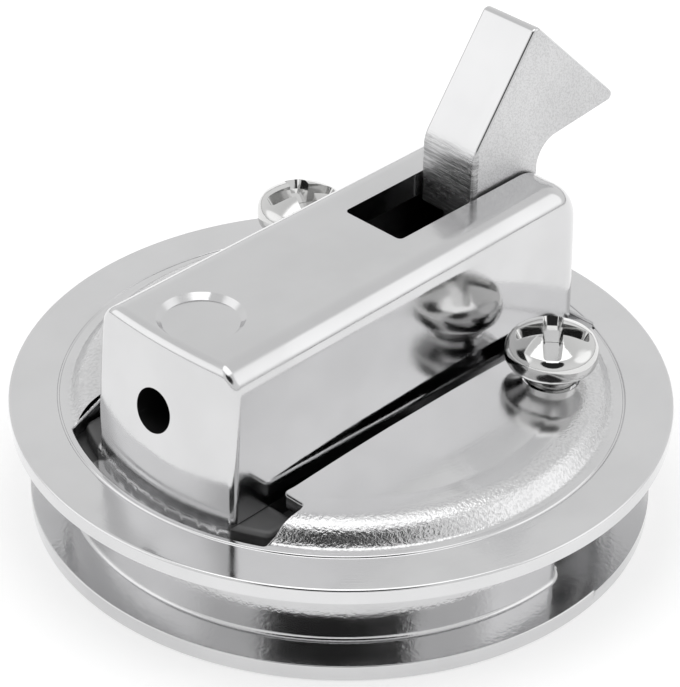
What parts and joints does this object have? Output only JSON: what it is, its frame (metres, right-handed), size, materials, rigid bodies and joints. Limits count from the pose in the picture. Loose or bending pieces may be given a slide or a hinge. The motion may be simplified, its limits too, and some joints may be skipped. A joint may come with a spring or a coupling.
{
  "type": "hatch latch",
  "caption": "Round flush-pull slam latch for a hatch or locker lid, with a dished backing plate, a box housing and a hooked sprung bolt.",
  "frame": {"origin": "centre of the bezel's front face, which lies on the floor", "axes": "+X along the box towards the bolt, +Y across the box, +Z from the bezel towards the back of the panel"},
  "size_m": [0.0624, 0.06, 0.0407],
  "materials": {
    "chrome_casting": "polished chrome plating on a casting",
    "chrome_plate": "polished chrome plating",
    "bolt_chrome": "chrome plating, satin on the sides",
    "screw_steel": "bright plated steel",
    "pin_steel": "turned",
    "spring_steel": "drawn wire"
  },
  "bodies": {
    "housing": {"housing": "chrome_casting", "backing_plate": "chrome_plate", "screw_right": "screw_steel", "screw_left": "screw_steel", "pivot_pin": "pin_steel", "bolt_spring": "spring_steel"},
    "handle": {"handle": "chrome_casting"},
    "bolt": {"bolt": "bolt_chrome"}
  },
  "joints": [
    {"name": "bolt_pivot", "type": "hinge", "parent": "housing", "child": "bolt", "pos_m": [0.0195, 0, 0.0047], "axis": [0, -1, 0], "range_deg": [0, 22], "stiffness_Nm_per_rad": 0.05, "springref_deg": -34.38, "deforming": ["bolt_spring"]},
    {"name": "handle_pivot", "type": "hinge", "parent": "housing", "child": "handle", "pos_m": [0.0195, 0, 0.0047], "axis": [0, -1, 0], "range_deg": [0, 22]}
  ],
  "couplings": [
    {"joint": "handle_pivot", "follows": "bolt_pivot", "ratio": 1}
  ]
}
